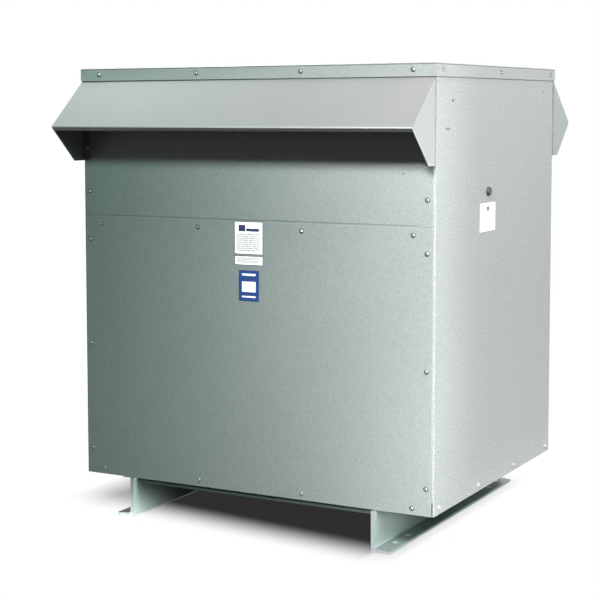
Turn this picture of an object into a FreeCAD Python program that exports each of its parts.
import FreeCAD, Part
import math
import os

# Dry-type three-phase distribution transformer in a ventilated sheet-steel housing on two channels.
# The origin is on the floor at the middle of the footprint. The front faces -Y, +X is the right-hand side
# seen from the front, and +Z is up. All lengths are millimetres.

# Housing
housing_width = 1006.0
housing_depth = 856.0
housing_height = 1082.0
sheet = 2.0
corner_bend = 3.0
panel_bend = 1.0
panel_gap = 1.0
seam_height = 696.0
side_return = 40.0
side_top_flange = 35.0
corner_inset = 6.0
panel_return = 14.0
panel_top_gap = 1.0
relief_width = 3.0
relief_height = 30.0
relief_start = 4.0

# Top cover
cover_flange = 31.75
cover_side_gap = 0.5
cover_hood_gap = 0.5
cover_bend = 1.5

# Feet and base
foot_height = 101.6
foot_flange = 50.0
foot_web = 8.0
foot_flange_root = 9.0
foot_flange_toe = 6.0
foot_fillet = 7.0
foot_margin = 157.0
foot_front_overhang = 15.0
foot_rear_setback = 20.0
foot_cope_length = 60.0
foot_cope_depth = 22.0
anchor_hole_radius = 8.0
anchor_hole_gauge = 29.0
anchor_outer_margin = 67.0
anchor_inner_margin = 143.0
rail_drop = 13.5
rail_depth = 40.0
rail_sheet = 3.0
rail_setback = 8.0
rail_bend = 2.0
pan_flange = 34.0
pan_corner_gap = 3.0
intake_side_margin = 46.0
intake_margin = 58.0
entry_side_margin = 46.0
entry_margin = 53.0
entry_depth = 150.0
entry_to_intake = 35.0
screen_sheet = 1.5
screen_border = 20.0
screen_column_bar = 26.0
screen_row_bar = 18.0
screen_columns = 12
screen_rows = 3

# Rain hoods
hood_reach = 142.0
hood_top_drop = 33.6
hood_ridge_drop = 150.6
hood_bottom_drop = 241.0
hood_bottom_reach = 42.0
hood_lip = 14.0
hood_flange = 26.0
hood_bend = 1.5
hood_side_flange = 22.0
hood_screw_inset = 12.0
hood_screw_margin = 34.0

# Air outlets behind the hoods
vent_slot_width = 18.0
vent_slot_height = 56.0
vent_margin = 83.0
vent_columns = 22
vent_rows = 2
vent_row_gap = 10.0
vent_top_drop = 8.0

# Seam rails behind the panels
seam_rail_height = 38.0
seam_rail_depth = 25.0
seam_rail_drop = 6.0

# Heads of the sheet-metal screws
screw_flats = 12.0
screw_head = 4.2
front_screw_margin = 56.0
cover_screw_drop = 15.5
cover_side_screw_margin = 36.0
row_screw_drop = 21.0
edge_screw_inset = 20.0
upper_edge_screw_height = 759.5
lower_edge_screw_heights = (66.5, 350.0, 632.0)
bottom_screw_height = 15.5
side_screw_margin = 36.5

# Bolts on the sides
side_bolt_drop = 17.6
side_bolt_radius = 6.0
side_bolt_flats = 19.0
side_bolt_head = 8.0
side_bolt_length = 18.0
bolt_hole_clearance = 0.3

# Plates and labels
nameplate_width = 79.0
nameplate_height = 80.0
nameplate_thickness = 1.0
nameplate_drop = 4.0
label_thickness = 0.6
rating_label_height = 21.0
rating_label_gap = 6.5
emblem_width = 58.0
emblem_height = 78.0
emblem_gap = 14.5
tag_width = 106.0
tag_height = 71.5
tag_y = -82.0
tag_drop = 383.0

# Core
phase_gap = 24.0
coil_to_side = 63.0
core_stack = 150.0
core_yoke = 120.0
core_headroom = 300.0
yoke_bevel = 12.0
clamp_overhang = 40.0
clamp_depth = 40.0
clamp_web = 6.0
tie_bar = 10.0
tie_bar_height = 100.0
tie_bar_gap = 8.0
tie_plate_width = 60.0

# What the core stands on
pad_length = 50.0
pad_gap = 0.3
pad_height = 30.0
pad_y = 95.0
core_rail_width = 50.0
core_rail_height = 40.0
core_rail_sheet = 5.0
core_rail_length = 250.0

# Windings, from the leg outwards
leg_clearance = 8.0
low_winding = 22.0
low_end_gap = 25.0
duct = 16.0
high_winding = 32.0
high_end_gap = 35.0
low_corner = 12.0
high_inner_corner = 12.0
high_outer_corner = 30.0
stick_width = 10.0
block_width = 26.0
block_spread = 52.0

# Taps on the high-voltage windings
tap_board_width = 70.0
tap_board_margin = 70.0
tap_board = 10.0
tap_count = 5
tap_margin = 34.0
tap_nut_flats = 16.0
tap_nut = 8.0

# Copper bars
bar_thickness = 6.0
bar_width = 50.0
bar_rise = 14.0
low_bar_forward = 85.0
low_bar_headroom = 176.0
high_bar_rise = 12.0
high_bar_forward = 82.0
high_bar_height = 118.0
high_bar_width = 30.0
high_bar_inset = 43.0
pad_hole_radius = 7.15
pad_hole_pitch = 44.45
pad_hole_edge = 16.0
neutral_height = 70.0
neutral_bar_height = 50.0
neutral_bar_overhang = 90.0
support_board = 12.0
support_board_height = 44.0
support_board_overhang = 55.0
support_bracket = 5.0
support_bracket_width = 40.0
support_bracket_x = 170.0
support_bracket_seat = 32.0

# Earthing
ground_bar_margin = 73.0
ground_bar_width = 25.0
ground_bar_setback = 38.0
ground_bar_length = 200.0
ground_bar_rise = 30.0
ground_bar_foot = 28.0
ground_hole_radius = 4.5
ground_hole_count = 2
strap_thickness = 2.5
strap_width = 20.0
strap_seat = 28.0
strap_reach = 30.0
strap_tail = 42.0
strap_fall = 12.0

# Brackets between the front upper clamp and the side panels
brace_sheet = 5.0
brace_width = 60.0
brace_seat = 60.0
brace_leg = 46.0

# Places worked out from the sizes
side = housing_width / 2
face = housing_depth / 2
base = foot_height
top = foot_height + housing_height
seam = base + seam_height
cover_under = top - sheet
return_edge = side - side_return
panel_edge = side - corner_inset
web = side - foot_margin
pan_top = base + sheet
intake_width = 2 * (web - intake_side_margin)
entry_width = 2 * (web - entry_side_margin)
entry_front = -face + entry_margin
entry_rear = entry_front + entry_depth
intake_front = entry_rear + entry_to_intake
intake_rear = face - intake_margin
hood_top = top - hood_top_drop
hood_ridge = top - hood_ridge_drop
hood_bottom = top - hood_bottom_drop
clamp_bottom = pan_top + pad_height + core_rail_height
window_bottom = clamp_bottom + core_yoke
core_top = top - core_headroom
window_top = core_top - core_yoke
core_face = core_stack / 2
leg_pitch = (side - sheet - coil_to_side + phase_gap / 2) / 1.5
winding_build = leg_clearance + low_winding + duct + high_winding
core_leg = leg_pitch - phase_gap - 2 * winding_build
core_end = leg_pitch + core_leg / 2
clamp_end = core_end + clamp_overhang
window_middle = (window_bottom + window_top) / 2
low_inner_x = core_leg / 2 + leg_clearance
low_inner_y = core_face + leg_clearance
low_outer_x = low_inner_x + low_winding
low_outer_y = low_inner_y + low_winding
high_inner_x = low_outer_x + duct
high_inner_y = low_outer_y + duct
high_outer_x = high_inner_x + high_winding
high_outer_y = high_inner_y + high_winding
low_bottom = window_bottom + low_end_gap
low_top = window_top - low_end_gap
high_bottom = window_bottom + high_end_gap
high_top = window_top - high_end_gap
tap_board_bottom = high_bottom + tap_board_margin
tap_board_top = high_top - tap_board_margin
leg_places = (-leg_pitch, 0.0, leg_pitch)
side_bolt_y = -core_face - clamp_web
ground_bar_x = ground_bar_margin - side
ground_bar_front = ground_bar_setback - face
ground_bar_rear = ground_bar_front + ground_bar_length


def vector(x, y, z):
    return FreeCAD.Vector(x, y, z)


FRONT = vector(0, -1, 0)
REAR = vector(0, 1, 0)
RIGHT = vector(1, 0, 0)
UP = vector(0, 0, 1)


def block(x_range, y_range, z_range):
    size = [pair[1] - pair[0] for pair in (x_range, y_range, z_range)]
    return Part.makeBox(*size, vector(x_range[0], y_range[0], z_range[0]))


def cylinder(radius, start, direction, length):
    return Part.makeCylinder(radius, length, start, direction)


def mirrored(shape):
    """The same piece on the other side, left for right."""
    return shape.mirror(vector(0, 0, 0), vector(1, 0, 0))


def turned(shape):
    """The same piece at the rear: half a turn about the upright axis."""
    copy = shape.copy()
    copy.rotate(vector(0, 0, 0), vector(0, 0, 1), 180)
    return copy


def fused(shapes):
    first, rest = shapes[0], shapes[1:]
    return first.fuse(rest).removeSplitter() if rest else first


def in_plane(plane, offset, u, v):
    """The point u, v of a profile drawn in the named plane."""
    if plane == "xy":
        return vector(u, v, offset)
    if plane == "xz":
        return vector(u, offset, v)
    return vector(offset, u, v)


def corner_arc(before, here, after, radius):
    """Start, middle and end of the arc that rounds a corner of an outline."""
    back = (before[0] - here[0], before[1] - here[1])
    on = (after[0] - here[0], after[1] - here[1])
    back_length = math.hypot(*back)
    on_length = math.hypot(*on)
    back = (back[0] / back_length, back[1] / back_length)
    on = (on[0] / on_length, on[1] / on_length)
    half = math.acos(max(-1.0, min(1.0, back[0] * on[0] + back[1] * on[1]))) / 2
    tangent = radius / math.tan(half)
    middle = (back[0] + on[0], back[1] + on[1])
    middle_length = math.hypot(*middle)
    reach = (radius / math.sin(half) - radius) / middle_length
    start = (here[0] + back[0] * tangent, here[1] + back[1] * tangent)
    crown = (here[0] + middle[0] * reach, here[1] + middle[1] * reach)
    end = (here[0] + on[0] * tangent, here[1] + on[1] * tangent)
    return start, crown, end


def profile(corners, plane, offset, length):
    """A solid with the outline through corners (u, v, radius), extruded along the plane's normal."""
    stops = []
    edges = []
    for index, corner in enumerate(corners):
        here = corner[:2]
        if corner[2] > 0:
            before = corners[index - 1][:2]
            after = corners[(index + 1) % len(corners)][:2]
            start, crown, end = corner_arc(before, here, after, corner[2])
            points = [in_plane(plane, offset, *point) for point in (start, crown, end)]
            edges.append(Part.Arc(*points).toShape())
            stops.append((points[0], points[2]))
        else:
            point = in_plane(plane, offset, *here)
            stops.append((point, point))
    for index, stop in enumerate(stops):
        goal = stops[(index + 1) % len(stops)][0]
        if stop[1].distanceToPoint(goal) > 1e-6:
            edges.append(Part.LineSegment(stop[1], goal).toShape())
    wire = Part.Wire(Part.__sortEdges__(edges))
    normals = {"xy": UP, "xz": REAR, "yz": RIGHT}
    return Part.Face(wire).extrude(normals[plane] * length)


def folded(path, thickness, inner_radius, plane, offset, length):
    """A sheet folded along path, with sharp folds where the inner radius is 0.
    The metal lies to the left of the path, or to its right if the thickness is negative."""
    steps = []
    for start, end in zip(path, path[1:]):
        span = math.hypot(end[0] - start[0], end[1] - start[1])
        steps.append(((end[0] - start[0]) / span, (end[1] - start[1]) / span))
    near_side = []
    far_side = []
    for index, point in enumerate(path):
        before = steps[max(index - 1, 0)]
        after = steps[min(index, len(steps) - 1)]
        turn = before[0] * after[1] - before[1] * after[0]
        share = thickness / (1 + before[0] * after[0] + before[1] * after[1])
        far = (point[0] - (before[1] + after[1]) * share, point[1] + (before[0] + after[0]) * share)
        inside = inner_radius if abs(turn) > 1e-9 else 0.0
        outside = inner_radius + abs(thickness) if inside > 0 else 0.0
        closes = turn * thickness > 0
        near_side.append((*point, outside if closes else inside))
        far_side.append((*far, inside if closes else outside))
    return profile(near_side + far_side[::-1], plane, offset, length)


def rounded_tube(half_x, half_y, wall, inner_corner, outer_corner, bottom, height, centre_x):
    """An upright tube of rounded rectangular section, wound round a leg."""
    rings = []
    for grow, radius in ((wall, outer_corner), (0.0, inner_corner)):
        x, y = half_x + grow, half_y + grow
        corners = ((-x, -y), (x, -y), (x, y), (-x, y))
        outline = [(centre_x + u, v, radius) for u, v in corners]
        rings.append(profile(outline, "xy", bottom, height))
    return rings[0].cut(rings[1])


def hexagon(flats, start, height):
    """An upright hexagonal prism, measured across its flats."""
    radius = flats / math.sqrt(3)
    corners = [(radius * math.cos(k * math.pi / 3), radius * math.sin(k * math.pi / 3)) for k in range(6)]
    return profile([(u, v, 0) for u, v in corners], "xy", start, height)


def facing(shape, place, outward):
    """Turns a fastener made along +Z so that it points outward, and puts it in its place."""
    copy = shape.copy()
    copy.Placement = FreeCAD.Placement(place, FreeCAD.Rotation(vector(0, 0, 1), outward))
    return copy


def screw():
    """The hex head of a sheet-metal screw, its seat at the origin. Its hidden thread is left out."""
    return hexagon(screw_flats, 0, screw_head)


def bolt(radius, length, flats, head):
    """A hex bolt, its seat at the origin and the shank going down."""
    return fused([cylinder(radius, vector(0, 0, -length), vector(0, 0, 1), length), hexagon(flats, 0, head)])


def holes(shape, places, direction, radius, depth):
    """Cuts a round hole straight through at each place, half its depth either way."""
    tools = []
    for place in places:
        start = place - direction * (depth / 2)
        tools.append(cylinder(radius, start, direction, depth))
    return shape.cut(Part.makeCompound(tools))


# Screw places, on the front and on the right-hand side. The rear and the left repeat them.
cover_screw_z = top - cover_screw_drop
front_screw_x = [(side - front_screw_margin) * share for share in (-1, -1 / 3, 1 / 3, 1)]
edge_screw_x = (edge_screw_inset - side, side - edge_screw_inset)
cover_front_places = [vector(x, -face, cover_screw_z) for x in front_screw_x]
cover_side_screw_y = [(face - cover_side_screw_margin) * share for share in (-1, 0, 1)]
cover_side_places = [vector(side, y, cover_screw_z) for y in cover_side_screw_y]
row_places = [vector(x, -face, seam - row_screw_drop) for x in front_screw_x]
bottom_places = [vector(x, -face, base + bottom_screw_height) for x in front_screw_x]
upper_edge_places = [vector(x, -face, base + upper_edge_screw_height) for x in edge_screw_x]
lower_edge_places = [
    vector(x, -face, base + height) for height in lower_edge_screw_heights for x in edge_screw_x
]
side_screw_y = [(face - side_screw_margin) * share for share in (-1, -1 / 3, 1 / 3, 1)]
side_bottom_places = [vector(side, y, base + bottom_screw_height) for y in side_screw_y]
hood_screw_x = side - hood_screw_inset
hood_places = [
    vector(x, -face, z)
    for z in (hood_bottom + hood_screw_margin, hood_top - hood_screw_margin)
    for x in (-hood_screw_x, hood_screw_x)
]
side_bolt_place = vector(side, side_bolt_y, core_top - side_bolt_drop)


def foot_channel():
    """The right-hand foot: a rolled channel with tapered flanges, its web inwards.
    Its upper flange is cut back at the front end, so that it starts behind the housing's front."""
    toe = web + foot_flange
    inner = web + foot_web
    corners = [
        (web, 0, 0),
        (toe, 0, 0),
        (toe, foot_flange_toe, 0),
        (inner, foot_flange_root, foot_fillet),
        (inner, foot_height - foot_flange_root, foot_fillet),
        (toe, foot_height - foot_flange_toe, 0),
        (toe, foot_height, 0),
        (web, foot_height, 0),
    ]
    start = -face - foot_front_overhang
    length = housing_depth + foot_front_overhang - foot_rear_setback
    cope_y = (start, start + foot_cope_length)
    cope = block((inner, toe), cope_y, (foot_height - foot_cope_depth, foot_height))
    channel = profile(corners, "xz", start, length).cut(cope)
    hole_x = web + anchor_hole_gauge
    margins = (anchor_outer_margin, anchor_inner_margin)
    places = [vector(hole_x, sign * (face - margin), 0) for margin in margins for sign in (-1, 1)]
    return holes(channel, places, UP, anchor_hole_radius, foot_flange_root * 4)


def cross_rail():
    """The folded rail between the feet, under the front edge of the pan."""
    y = -face + rail_setback
    path = [(y, base - rail_drop), (y, base), (y + rail_depth, base)]
    return folded(path, -rail_sheet, rail_bend, "yz", -web, 2 * web)


def base_pan():
    """The floor of the housing, with an upturned flange on each side, an air intake and a cable entry."""
    inner_x = side - sheet
    inner_y = face - sheet
    short_x = return_edge - pan_corner_gap
    short_y = inner_y - sheet - pan_corner_gap
    floor = fused([
        block((-inner_x, inner_x), (-short_y, short_y), (base, pan_top)),
        block((-short_x, short_x), (-inner_y, inner_y), (base, pan_top)),
    ])
    flange_top = base + pan_flange
    front_path = [(-inner_y + pan_flange, base), (-inner_y, base), (-inner_y, flange_top)]
    right_path = [(inner_x - pan_flange, base), (inner_x, base), (inner_x, flange_top)]
    front_flange = folded(front_path, -sheet, panel_bend, "yz", -short_x, 2 * short_x)
    right_flange = folded(right_path, sheet, panel_bend, "xz", -short_y, 2 * short_y)
    blank = block((-side, side), (-face, face), (base, base + sheet))
    rounded_front = block((-short_x, short_x), (-inner_y, -inner_y + pan_flange), (base, pan_top))
    rounded_right = block((inner_x - pan_flange, inner_x), (-short_y, short_y), (base, pan_top))
    edges = [rounded_front, turned(rounded_front), rounded_right, turned(rounded_right)]
    floor = floor.common(blank).cut(Part.makeCompound(edges))
    pan = fused([floor, front_flange, turned(front_flange), right_flange, turned(right_flange)])
    openings = Part.makeCompound([
        block((-intake_width / 2, intake_width / 2), (intake_front, intake_rear), (0, top)),
        block((-entry_width / 2, entry_width / 2), (entry_front, entry_rear), (0, top)),
    ])
    return pan.cut(openings)


def intake_screen():
    """The slotted plate over the air intake."""
    x = intake_width / 2 + screen_border
    front, rear = intake_front - screen_border, intake_rear + screen_border
    plate = block((-x, x), (front, rear), (pan_top, pan_top + screen_sheet))
    column_pitch = intake_width / screen_columns
    row_pitch = (intake_rear - intake_front) / screen_rows
    half_slot = (column_pitch - screen_column_bar) / 2
    half_length = (row_pitch - screen_row_bar) / 2
    slots = []
    for row in range(screen_rows):
        y = intake_front + row_pitch * (row + 0.5)
        for column in range(screen_columns):
            x = -intake_width / 2 + column_pitch * (column + 0.5)
            x_range = (x - half_slot, x + half_slot)
            y_range = (y - half_length, y + half_length)
            slots.append(block(x_range, y_range, (base, pan_top + 2 * screen_sheet)))
    return plate.cut(Part.makeCompound(slots))


def side_panel():
    """The right-hand side, bent round at its corners so that the front and rear panels screw to it."""
    y = face - sheet
    path = [(return_edge, -y), (side, -y), (side, y), (return_edge, y)]
    walls = folded(path, sheet, corner_bend, "xy", base, cover_under - base)
    seat = y - sheet - 2 * corner_bend
    fold_start = cover_under - side_top_flange
    seat_path = [(side, fold_start), (side, cover_under), (side - side_top_flange, cover_under)]
    flange = folded(seat_path, sheet, corner_bend, "xz", -seat, 2 * seat)
    lowered = block((side - sheet, side), (-seat, seat), (fold_start, cover_under))
    panel = fused([walls.cut(lowered), flange])
    relief_z = (base + relief_start, base + relief_start + relief_height)
    relief = block((panel_edge, panel_edge + relief_width), (-face, -y + sheet + corner_bend), relief_z)
    panel = panel.cut(Part.makeCompound([relief, relief.mirror(vector(0, 0, 0), vector(0, 1, 0))]))
    return holes(panel, [side_bolt_place], RIGHT, side_bolt_radius + bolt_hole_clearance, 4 * sheet)


def front_plate(low, high):
    """A flat front sheet between two heights, as wide as the corners leave it."""
    return block((-panel_edge, panel_edge), (-face, -face + sheet), (low, high))


def lower_panel():
    """The front lower panel, its top edge folded in."""
    edge = seam - panel_gap / 2
    inner = return_edge - panel_gap
    fold = panel_bend + sheet
    path = [(-face, edge - panel_return), (-face, edge), (-face + panel_return, edge)]
    lip = folded(path, -sheet, panel_bend, "yz", -inner, 2 * inner)
    shoulder = block((-inner, inner), (-face, -face + sheet), (edge - fold, edge))
    return fused([front_plate(base, edge).cut(shoulder), lip])


def upper_panel():
    """The front upper panel: its bottom edge folded in, and rows of air slots behind the rain hood."""
    edge = seam + panel_gap / 2
    inner = return_edge - panel_gap
    fold = panel_bend + sheet
    path = [(-face + panel_return, edge), (-face, edge), (-face, edge + panel_return)]
    lip = folded(path, -sheet, panel_bend, "yz", -inner, 2 * inner)
    shoulder = block((-inner, inner), (-face, -face + sheet), (edge, edge + fold))
    panel = fused([front_plate(edge, cover_under - panel_top_gap).cut(shoulder), lip])
    vent_pitch = 2 * (side - vent_margin) / (vent_columns - 1)
    slots = []
    for row in range(vent_rows):
        high = hood_top - vent_top_drop - row * (vent_slot_height + vent_row_gap)
        for column in range(vent_columns):
            x = vent_pitch * (column - (vent_columns - 1) / 2)
            x_range = (x - vent_slot_width / 2, x + vent_slot_width / 2)
            slots.append(block(x_range, (-face - sheet, -face + 2 * sheet), (high - vent_slot_height, high)))
    return panel.cut(Part.makeCompound(slots))


def seam_rail():
    """The channel behind the seam that takes the row of screws."""
    high = seam - panel_gap / 2 - sheet - seam_rail_drop
    low = high - seam_rail_height
    near = -face + sheet
    path = [(near + seam_rail_depth, low), (near, low), (near, high), (near + seam_rail_depth, high)]
    return folded(path, -sheet, panel_bend, "yz", -return_edge, 2 * return_edge)


def top_cover():
    """A shallow tray with its rim turned down outside the panels."""
    x = side + cover_side_gap + sheet
    y = face + sheet + cover_hood_gap + sheet
    low = top - cover_flange
    outer = block((-x, x), (-y, y), (low, top))
    rim = [edge for edge in outer.Edges if edge.BoundBox.ZMin > top - sheet]
    inner = block((sheet - x, x - sheet), (sheet - y, y - sheet), (low - cover_flange, cover_under))
    return outer.makeFillet(cover_bend + sheet, rim).cut(inner)


def rain_hood():
    """The front hood: one folded sheet with a return lip, closed by an end cap on each side."""
    seat = -face - sheet
    tip = (-face - hood_reach, hood_ridge)
    foot_point = (-face - hood_bottom_reach, hood_bottom)
    reach = math.hypot(foot_point[0] - tip[0], foot_point[1] - tip[1])
    lip = tuple(tip[i] + (foot_point[i] - tip[i]) * hood_lip / reach for i in (0, 1))
    path = [(seat, hood_top + hood_flange), (seat, hood_top), tip, lip]
    roof = folded(path, sheet, hood_bend, "yz", -side, housing_width)
    corners = [
        (-face, hood_top, 0),
        (seat, hood_top, 0),
        (*tip, hood_bend + sheet),
        (*foot_point, 0),
        (-face, hood_bottom, 0),
    ]
    cap = profile(corners, "yz", side - sheet, sheet)
    flange = block((side - hood_side_flange, side), (seat, -face), (hood_bottom, hood_top))
    return fused([roof, cap, mirrored(cap), flange, mirrored(flange)])


def label(width, height, thickness, high):
    """A thin plate in the middle of the front lower panel, its top edge at the given height."""
    return block((-width / 2, width / 2), (-face - thickness, -face), (high - height, high))


def side_tag():
    """The tag on the right-hand side."""
    middle = top - tag_drop
    y_range = (tag_y - tag_width / 2, tag_y + tag_width / 2)
    return block((side, side + label_thickness), y_range, (middle - tag_height / 2, middle + tag_height / 2))


def core():
    """Three legs between two yokes, cut from one laminated stack with bevelled outer corners."""
    x = core_end
    outline = [(-x, clamp_bottom), (x, clamp_bottom), (x, core_top), (-x, core_top)]
    outer = profile([(u, v, 0) for u, v in outline], "xz", -core_face, core_stack)
    upper = [edge for edge in outer.Edges if edge.BoundBox.ZMin > window_top]
    corners = [edge for edge in upper if edge.BoundBox.YLength > core_stack / 2]
    outer = outer.makeChamfer(yoke_bevel, corners)
    half = (leg_pitch - core_leg) / 2
    heights = (window_bottom, window_top)
    windows = [
        block((place - half, place + half), (-core_stack, core_stack), heights)
        for place in (-leg_pitch / 2, leg_pitch / 2)
    ]
    return outer.cut(Part.makeCompound(windows))


def clamp(low):
    """A front core clamp: a channel against the yoke, its flanges outwards."""
    near = -core_face
    far = near - clamp_depth
    high = low + core_yoke
    path = [(far, low), (near, low), (near, high), (far, high)]
    return folded(path, clamp_web, 0, "yz", -clamp_end, 2 * clamp_end)


def clamp_tie_bars():
    """Flat bars past the ends of the core that join the front clamps to the rear ones."""
    start = core_end + tie_bar_gap
    made = []
    for low in (clamp_bottom, window_top):
        first = low + (core_yoke - tie_bar_height) / 2
        bar = block((start, start + tie_bar), (-core_face, core_face), (first, first + tie_bar_height))
        made += [bar, mirrored(bar)]
    return made


def tie_plates():
    """Flat plates along the legs, from the webs of the lower clamps to those of the upper ones."""
    y_range = (-core_face - clamp_web, -core_face)
    made = []
    for centre in leg_places:
        x_range = (centre - tie_plate_width / 2, centre + tie_plate_width / 2)
        plate = block(x_range, y_range, (window_bottom, window_top))
        made += [plate, turned(plate)]
    return made


def core_rail():
    """The inverted channel over the right-hand foot that the clamps stand on."""
    low = pan_top + pad_height
    high = low + core_rail_height
    right = web + core_rail_width
    path = [(web, low), (web, high), (right, high), (right, low)]
    return folded(path, -core_rail_sheet, 0, "xz", -core_rail_length / 2, core_rail_length)


def isolation_pads():
    """Rubber blocks inside the rails' flanges, from the pan up to the underside of the rails' webs."""
    inner = core_rail_width - 2 * core_rail_sheet
    centre = web + core_rail_width / 2
    high = pan_top + pad_height + core_rail_height - core_rail_sheet
    half = inner / 2 - pad_gap
    y_range = (pad_y - pad_length / 2, pad_y + pad_length / 2)
    pad = block((centre - half, centre + half), y_range, (pan_top, high))
    return [pad, turned(pad), mirrored(pad), mirrored(turned(pad))]


def low_voltage_winding(centre):
    size = (low_inner_x, low_inner_y, low_winding)
    return rounded_tube(*size, 0, low_corner, low_bottom, low_top - low_bottom, centre)


def high_voltage_winding(centre):
    size = (high_inner_x, high_inner_y, high_winding)
    corners = (high_inner_corner, high_outer_corner)
    return rounded_tube(*size, *corners, high_bottom, high_top - high_bottom, centre)


def stick(x, y, half_x, half_y):
    """An upright spacer as deep as the duct."""
    return block((x - half_x, x + half_x), (y - half_y, y + half_y), (high_bottom, high_top))


def duct_sticks():
    """Spacers round the air duct between the two windings of each phase."""
    made = []
    mid_x = (low_outer_x + high_inner_x) / 2
    mid_y = (low_outer_y + high_inner_y) / 2
    for centre in leg_places:
        for share in (-0.5, 0.5):
            for sign in (-1, 1):
                made.append(stick(centre + share * low_inner_x, sign * mid_y, stick_width / 2, duct / 2))
                made.append(stick(centre + sign * mid_x, share * low_inner_y, duct / 2, stick_width / 2))
    return made


def coil_blocks():
    """Stepped blocks between the clamps and the ends of the windings, below and above."""
    near, far, step = -low_inner_y, -high_outer_y, -(low_outer_y + duct / 2)
    low_outline = [
        (near, window_bottom),
        (far, window_bottom),
        (far, high_bottom),
        (step, high_bottom),
        (step, low_bottom),
        (near, low_bottom),
    ]
    high_outline = [(u, 2 * window_middle - v) for u, v in low_outline]
    made = []
    for outline in (low_outline, high_outline):
        corners = [(u, v, 0) for u, v in outline]
        for centre in leg_places:
            for offset in (-block_spread, block_spread):
                start = centre + offset - block_width / 2
                piece = profile(corners, "yz", start, block_width)
                made += [piece, turned(piece)]
    return made


def tap_places(centre):
    lowest = tap_board_bottom + tap_margin
    pitch = (tap_board_top - tap_margin - lowest) / (tap_count - 1)
    return [vector(centre, -high_outer_y - tap_board, lowest + pitch * step) for step in range(tap_count)]


def tap_board_piece(centre):
    half = tap_board_width / 2
    y_range = (-high_outer_y - tap_board, -high_outer_y)
    return block((centre - half, centre + half), y_range, (tap_board_bottom, tap_board_top))


def tap_nuts():
    """The nut of each tap on the three high-voltage windings."""
    places = [place for centre in leg_places for place in tap_places(centre)]
    return at_places(hexagon(tap_nut_flats, 0, tap_nut), places, FRONT)


def pad_places(centre, y, high):
    """The two bolt holes of a terminal pad, one above the other."""
    first = high - pad_hole_edge
    return [vector(centre, y, z) for z in (first, first - pad_hole_pitch)]


low_bar_y = -(low_inner_y + low_winding / 2) - low_bar_forward
low_bar_top = top - low_bar_headroom


def secondary_bar(centre):
    """A copper bar from the top of a low-voltage winding, forward and up to its terminal pad."""
    start_y = low_bar_y + low_bar_forward
    shelf = low_top + bar_rise
    path = [(start_y, low_top), (start_y, shelf), (low_bar_y, shelf), (low_bar_y, low_bar_top)]
    bar = folded(path, -bar_thickness, 0, "yz", centre - bar_width / 2, bar_width)
    return holes(bar, pad_places(centre, low_bar_y, low_bar_top), FRONT, pad_hole_radius, 6 * bar_thickness)


def primary_bar(centre):
    """A copper bar from the top of a high-voltage winding to its terminal pad."""
    start_y = -(high_inner_y + high_winding / 2)
    shelf = high_top + high_bar_rise
    end_y = start_y - high_bar_forward
    high = shelf + high_bar_height
    path = [(start_y, high_top), (start_y, shelf), (end_y, shelf), (end_y, high)]
    x = centre + high_outer_x - high_bar_inset
    return folded(path, -bar_thickness, 0, "yz", x - high_bar_width / 2, high_bar_width)


def neutral_riser(centre):
    """The rear end of a low-voltage winding, brought up to the neutral bar."""
    start_y = low_bar_y + low_bar_forward
    shelf = low_top + bar_rise
    path = [(start_y, low_top), (start_y, shelf), (low_bar_y, shelf), (low_bar_y, shelf + neutral_height)]
    return turned(folded(path, -bar_thickness, 0, "yz", centre - bar_width / 2, bar_width))


def neutral_bar():
    """The flat bar across the rear that joins the three neutral ends."""
    high = low_top + bar_rise + neutral_height
    near = -low_bar_y
    x = leg_pitch + neutral_bar_overhang
    bar = block((-x, x), (near, near + bar_thickness), (high - neutral_bar_height, high))
    z = high - neutral_bar_height / 2
    places = [vector(x - pad_hole_edge - shift, near, z) for shift in (0.0, pad_hole_pitch)]
    return holes(bar, places, FRONT, pad_hole_radius, 6 * bar_thickness)


def bus_support():
    """The insulating board behind the secondary bars."""
    near = low_bar_y + bar_thickness
    half = leg_pitch + bar_width / 2 + support_board_overhang
    return block((-half, half), (near, near + support_board), (core_top, core_top + support_board_height))


def support_brackets():
    """Angles from the top of the front upper clamp to the back of the board."""
    near = low_bar_y + bar_thickness + support_board
    far = -core_face - clamp_depth + support_bracket_seat
    path = [(far, core_top), (near, core_top), (near, core_top + support_board_height)]
    start = support_bracket_x - support_bracket_width / 2
    bracket = folded(path, -support_bracket, 0, "yz", start, support_bracket_width)
    return [bracket, mirrored(bracket)]


def brace_bracket():
    """The right-hand angle from the top of the front upper clamp to the side panel."""
    wall = side - sheet
    high = core_top + brace_sheet
    path = [(clamp_end - brace_seat, high), (wall, high), (wall, high - brace_leg)]
    start = side_bolt_y - brace_width / 2
    bracket = folded(path, -brace_sheet, 0, "xz", start, brace_width)
    return holes(bracket, [side_bolt_place], RIGHT, side_bolt_radius + bolt_hole_clearance, 8 * brace_sheet)


def ground_bar():
    """A copper bar with a foot folded down at each end, standing on the pan."""
    high = pan_top + ground_bar_rise
    foot = ground_bar_foot
    path = [
        (ground_bar_front, pan_top),
        (ground_bar_front + foot, pan_top),
        (ground_bar_front + foot, high),
        (ground_bar_rear - foot, high),
        (ground_bar_rear - foot, pan_top),
        (ground_bar_rear, pan_top),
    ]
    start = ground_bar_x - ground_bar_width / 2
    bar = folded(path, bar_thickness, 0, "yz", start, ground_bar_width)
    span = ground_bar_rear - ground_bar_front - 2 * foot
    places = []
    for step in range(ground_hole_count):
        y = ground_bar_front + foot + span * (step + 1) / (ground_hole_count + 1)
        places.append(vector(ground_bar_x, y, high))
    return holes(bar, places, UP, ground_hole_radius, 4 * bar_thickness)


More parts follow.
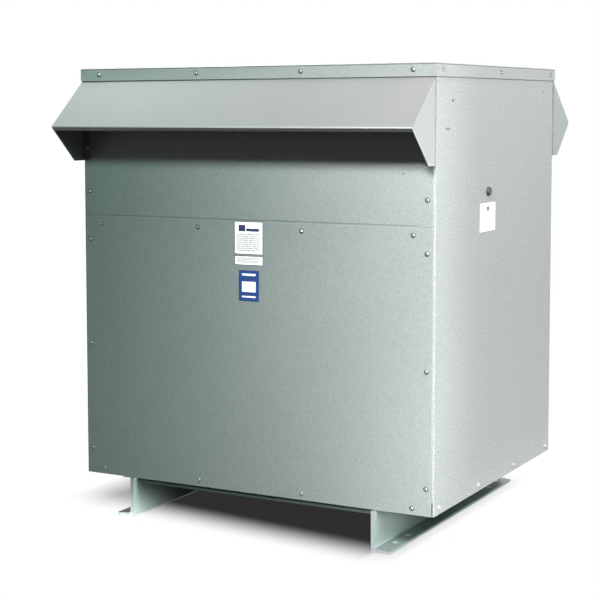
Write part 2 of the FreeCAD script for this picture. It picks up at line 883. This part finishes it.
def ground_strap():
    """The flexible strap from the lower clamp's flange down to the pan."""
    shelf = clamp_bottom + clamp_web
    edge = -core_face - clamp_depth
    drop = edge - strap_reach
    path = [
        (edge + strap_seat, shelf),
        (edge - strap_fall, shelf),
        (drop, pan_top),
        (drop - strap_tail, pan_top),
    ]
    start = -clamp_end
    return folded(path, -strap_thickness, 0, "yz", start, strap_width)


def at_places(fastener, places, outward):
    return [facing(fastener, place, outward) for place in places]


def on_both_sides(pieces):
    return pieces + [turned(piece) for piece in pieces]


def cover_screws():
    front_seat = FRONT * (2 * sheet + cover_hood_gap)
    side_seat = RIGHT * (sheet + cover_side_gap)
    pieces = at_places(screw(), [p + front_seat for p in cover_front_places], FRONT)
    pieces += at_places(screw(), [p + side_seat for p in cover_side_places], RIGHT)
    return on_both_sides(pieces)


def export(name, pieces):
    """Writes one piece, or a group of separate pieces, as the named node."""
    pieces = pieces if isinstance(pieces, list) else [pieces]
    solids = [solid for piece in pieces for solid in piece.Solids]
    shape = solids[0] if len(solids) == 1 else Part.makeCompound(solids)
    shape.exportStep(os.path.join("parts", name + ".step"))


def both_ends(name, piece):
    export("front_" + name, piece)
    export("rear_" + name, turned(piece))


def both_hands(name, piece):
    export("right_" + name, piece)
    export("left_" + name, mirrored(piece))


def main():
    os.makedirs("parts", exist_ok=True)
    both_hands("foot_channel", foot_channel())
    both_ends("cross_rail", cross_rail())
    export("base_pan", base_pan())
    export("intake_screen", intake_screen())

    both_hands("side_panel", side_panel())
    both_ends("lower_panel", lower_panel())
    both_ends("upper_panel", upper_panel())
    both_ends("seam_rail", seam_rail())
    both_ends("rain_hood", rain_hood())
    export("top_cover", top_cover())

    panel_places = row_places + bottom_places + upper_edge_places + lower_edge_places
    front_screws = at_places(screw(), panel_places, FRONT)
    side_screws = at_places(screw(), side_bottom_places, RIGHT)
    hood_screws = at_places(screw(), [p + FRONT * sheet for p in hood_places], FRONT)
    big_bolt = bolt(side_bolt_radius, side_bolt_length, side_bolt_flats, side_bolt_head)
    right_bolt = facing(big_bolt, side_bolt_place, RIGHT)
    export("top_cover_screws", cover_screws())
    export("front_panel_screws", front_screws)
    export("rear_panel_screws", [turned(piece) for piece in front_screws])
    export("side_panel_screws", on_both_sides(side_screws))
    export("hood_screws", on_both_sides(hood_screws))
    export("side_bolts", [right_bolt, mirrored(right_bolt)])

    plate_top = seam - nameplate_drop
    rating_top = plate_top - nameplate_height - rating_label_gap
    emblem_top = rating_top - rating_label_height - emblem_gap
    export("nameplate", label(nameplate_width, nameplate_height, nameplate_thickness, plate_top))
    export("rating_label", label(nameplate_width, rating_label_height, label_thickness, rating_top))
    export("emblem_label", label(emblem_width, emblem_height, label_thickness, emblem_top))
    export("side_tag", side_tag())

    export("core", core())
    both_ends("lower_clamp", clamp(clamp_bottom))
    both_ends("upper_clamp", clamp(window_top))
    export("clamp_tie_bars", clamp_tie_bars())
    export("tie_plates", tie_plates())
    both_hands("core_rail", core_rail())
    export("isolation_pads", isolation_pads())

    for number, centre in enumerate(leg_places, start=1):
        export("low_voltage_winding_%d" % number, low_voltage_winding(centre))
        export("high_voltage_winding_%d" % number, high_voltage_winding(centre))
        export("secondary_bus_bar_%d" % number, secondary_bar(centre))
    export("duct_sticks", duct_sticks())
    export("coil_blocks", coil_blocks())
    export("tap_boards", [tap_board_piece(centre) for centre in leg_places])
    export("tap_nuts", tap_nuts())
    export("primary_bus_bars", [primary_bar(centre) for centre in leg_places])
    export("neutral_risers", [neutral_riser(centre) for centre in leg_places])
    export("neutral_bus_bar", neutral_bar())
    export("bus_support_board", bus_support())
    export("support_brackets", support_brackets())
    both_hands("brace_bracket", brace_bracket())
    export("ground_bar", ground_bar())
    export("ground_strap", ground_strap())


main()
